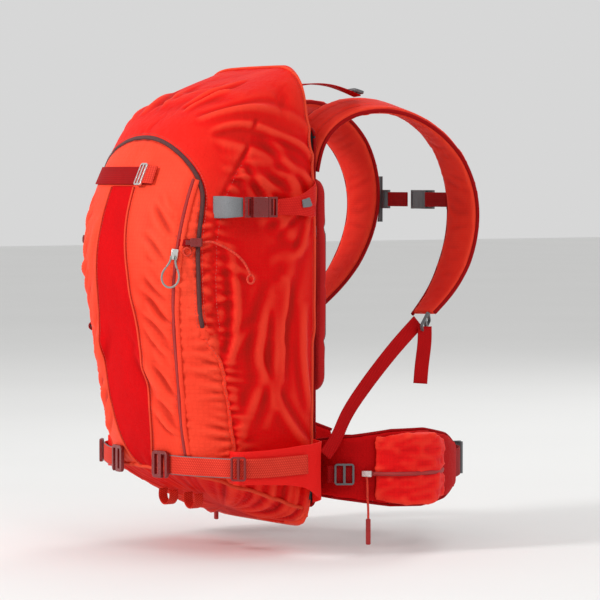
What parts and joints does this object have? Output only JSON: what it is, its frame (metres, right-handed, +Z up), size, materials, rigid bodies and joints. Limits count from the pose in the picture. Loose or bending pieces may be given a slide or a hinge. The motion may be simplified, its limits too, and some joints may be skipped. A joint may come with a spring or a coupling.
{
  "type": "ski backpack",
  "caption": "Ski touring backpack with padded harness and hip belt, a fold-down zipped front panel, side straps for skis, shaft keepers, haul handle and hip pockets.",
  "frame": {"origin": "middle of the lumbar pad's face, where the pack rests on the wearer's lower back", "axes": "+Z up along the wearer's back, +Y forward (the way the wearer faces), +X to the wearer's right"},
  "size_m": [0.4282, 0.5257, 0.6271],
  "materials": {
    "ripstop_bright": "bright red-orange nylon, lightly sheened",
    "ripstop_deep": "deeper red nylon",
    "boot_fabric": "dark red heavy nylon gathered at the bag's foot",
    "scuff_fabric": "dark red textured nylon with lighter piping",
    "padding_fabric": "red quilted fabric over foam",
    "back_fabric": "dark grey fabric over moulded foam",
    "hip_pocket_fabric": "bright red thin nylon",
    "zip_tape": "dark maroon water-resistant coil zip",
    "webbing_red": "dark red woven webbing",
    "cord_red": "red braided cord",
    "sleeve_red": "matt red rubber sleeve",
    "buckle_red": "semi-gloss dark red acetal",
    "buckle_grey": "matt grey acetal",
    "bare_metal": "bare bead-blasted aluminium",
    "frame_sheet_plastic": "black polyethylene sheet"
  },
  "bodies": {
    "pack": {"front_lower_panel": "ripstop_bright", "bottom_panel": "ripstop_bright", "back_panel": "back_fabric", "top_panel": "ripstop_bright", "side_panel_right": "ripstop_deep", "side_panel_left": "ripstop_deep", "root_zips": "zip_tape", "scuff_panel_lower": "scuff_fabric", "boot_flap": "boot_fabric", "frame_sheet": "frame_sheet_plastic", "frame_stay": "bare_metal", "back_pads": "back_fabric", "lumbar_pad": "back_fabric", "ski_upper_straps": "webbing_red", "ski_buckle_sockets": "buckle_red", "ski_bands": "webbing_red", "ski_lower_straps": "webbing_red", "ski_hooks": "bare_metal", "tool_loops": "webbing_red", "shoulder_straps": "padding_fabric", "harness_webbing": "webbing_red", "strap_adjusters": "buckle_grey", "sternum_rails": "buckle_grey"},
    "flap": {"front_flap": "ripstop_bright", "scuff_panel_upper": "scuff_fabric", "pocket_zip_upper": "zip_tape", "front_strap": "webbing_red", "front_strap_buckle": "bare_metal", "cord_locks": "buckle_red", "keeper_loops": "cord_red", "keeper_tail_right": "cord_red", "keeper_tail_left": "cord_red"},
    "pocket_slider": {"pocket_zip_slider": "bare_metal"},
    "pocket_pull": {"pocket_pull": "buckle_grey"},
    "button_right": {"cord_lock_button_right": "buckle_red"},
    "button_left": {"cord_lock_button_left": "buckle_red"},
    "flap_zip_slider": {"front_zip_slider": "bare_metal"},
    "haul": {"haul_handle": "webbing_red"},
    "sternum": {"sternum_clips": "buckle_grey", "sternum_webbing": "webbing_red", "sternum_socket": "buckle_grey"},
    "sternum_tongue": {"sternum_tongue": "buckle_grey"},
    "ski_tongue_right": {"ski_buckle_tongue_right": "buckle_red"},
    "ski_tongue_left": {"ski_buckle_tongue_left": "buckle_red"},
    "hip_right": {"hip_wing_right": "padding_fabric", "hip_pocket_right": "hip_pocket_fabric", "hip_webbing_right": "webbing_red", "stabilizer_buckle_right": "buckle_grey", "hip_buckle_tongue": "buckle_grey"},
    "hip_left": {"hip_wing_left": "padding_fabric", "hip_pocket_left": "hip_pocket_fabric", "hip_webbing_left": "webbing_red", "stabilizer_buckle_left": "buckle_grey", "hip_buckle_socket": "buckle_grey"},
    "hip_zip_right": {"hip_zip_slider_right": "bare_metal", "hip_pull_cord_right": "cord_red", "hip_pull_sleeve_right": "sleeve_red"},
    "hip_zip_left": {"hip_zip_slider_left": "bare_metal", "hip_pull_cord_left": "cord_red", "hip_pull_sleeve_left": "sleeve_red"}
  },
  "joints": [
    {"name": "flap_fold", "type": "hinge", "parent": "pack", "child": "flap", "pos_m": [0, -0.249, 0.183], "axis": [1, 0, 0], "range_deg": [0, 60]},
    {"name": "pocket_zip_slide", "type": "hinge", "parent": "flap", "child": "pocket_slider", "pos_m": [-0.12056, 0.04157, 0.2762], "axis": [-0.7557, -0.6367, 0.1536], "range_deg": [-11, 0]},
    {"name": "pocket_pull_swing", "type": "hinge", "parent": "pocket_slider", "child": "pocket_pull", "pos_m": [0.11309, -0.2345, 0.28143], "axis": [-0.7557, -0.6367, 0.1536], "range_deg": [0, 100]},
    {"name": "lock_button_right", "type": "slide", "parent": "flap", "child": "button_right", "axis": [0.6253, 0.7804, 0], "range_m": [0, 0.004], "stiffness_N_per_m": 300},
    {"name": "lock_button_left", "type": "slide", "parent": "flap", "child": "button_left", "axis": [-0.6253, 0.7804, 0], "range_m": [0, 0.004], "stiffness_N_per_m": 300},
    {"name": "flap_zip_slide", "type": "slide", "parent": "pack", "child": "flap_zip_slider", "axis": [0, -0.0893, 0.996], "range_m": [0, 0.055]},
    {"name": "haul_swing", "type": "hinge", "parent": "pack", "child": "haul", "pos_m": [0, 0.005, 0.478], "axis": [1, 0, 0], "range_deg": [-45, 30]},
    {"name": "sternum_height", "type": "slide", "parent": "pack", "child": "sternum", "axis": [0, 0, 1], "range_m": [-0.018, 0.018]},
    {"name": "sternum_release", "type": "slide", "parent": "sternum", "child": "sternum_tongue", "axis": [1, 0, 0], "range_m": [0, 0.02]},
    {"name": "ski_release_right", "type": "slide", "parent": "pack", "child": "ski_tongue_right", "axis": [-0.02, 0.9998, 0], "range_m": [0, 0.018]},
    {"name": "ski_release_left", "type": "slide", "parent": "pack", "child": "ski_tongue_left", "axis": [0.02, 0.9998, 0], "range_m": [0, 0.018]},
    {"name": "hip_right_swing", "type": "hinge", "parent": "pack", "child": "hip_right", "pos_m": [0.116, -0.009, 0], "axis": [0, 0, 1], "range_deg": [-6.5, 4.5]},
    {"name": "hip_left_swing", "type": "hinge", "parent": "pack", "child": "hip_left", "pos_m": [-0.116, -0.009, 0], "axis": [0, 0, -1], "range_deg": [-6.5, 4.5]},
    {"name": "hip_zip_right_slide", "type": "hinge", "parent": "hip_right", "child": "hip_zip_right", "pos_m": [0.143, 0.088, -0.003], "axis": [0, 0, 1], "range_deg": [0, 48]},
    {"name": "hip_zip_left_slide", "type": "hinge", "parent": "hip_left", "child": "hip_zip_left", "pos_m": [-0.143, 0.088, -0.003], "axis": [0, 0, -1], "range_deg": [0, 48]}
  ]
}
